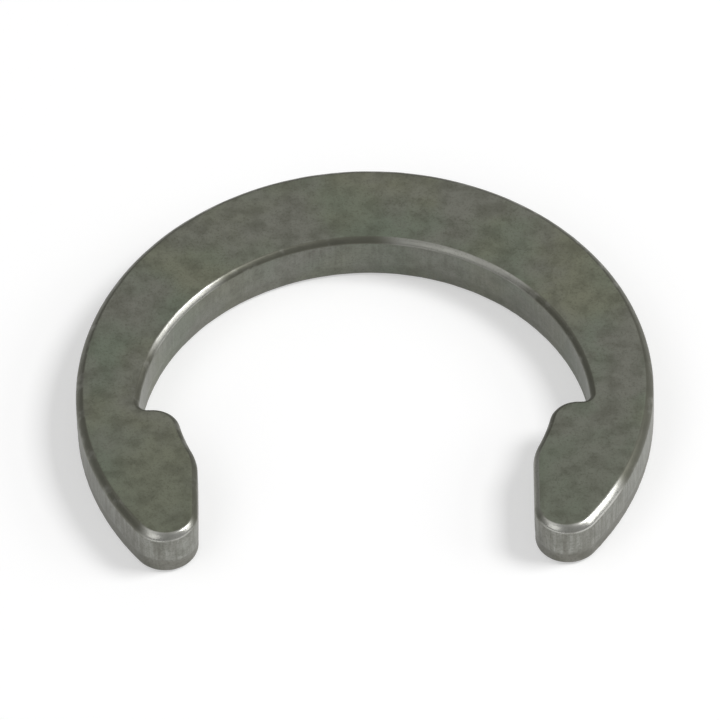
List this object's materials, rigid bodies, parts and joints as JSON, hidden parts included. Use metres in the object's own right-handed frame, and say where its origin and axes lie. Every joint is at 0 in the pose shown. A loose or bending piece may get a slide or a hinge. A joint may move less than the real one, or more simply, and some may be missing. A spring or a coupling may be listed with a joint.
{
  "type": "circlip retaining ring",
  "caption": "Flat C-shaped retaining ring, crescent-tapered with two solid lugs, that snaps sideways into a shaft groove to stop parts sliding along the shaft.",
  "frame": {"origin": "on the axis of the shaft that the ring grips, in the plane of the ring's lower face", "axes": "+Z along the shaft axis and up out of the ring's face, +X across the ring from lug to lug, +Y from the mouth to the back of the ring"},
  "size_m": [0.038, 0.0316, 0.0036],
  "materials": {
    "phosphated_steel": "dark olive-grey phosphate and oil over tumbled, punched spring steel, semi-matt"
  },
  "bodies": {
    "root": {"retaining_ring": "phosphated_steel"}
  },
  "joints": []
}
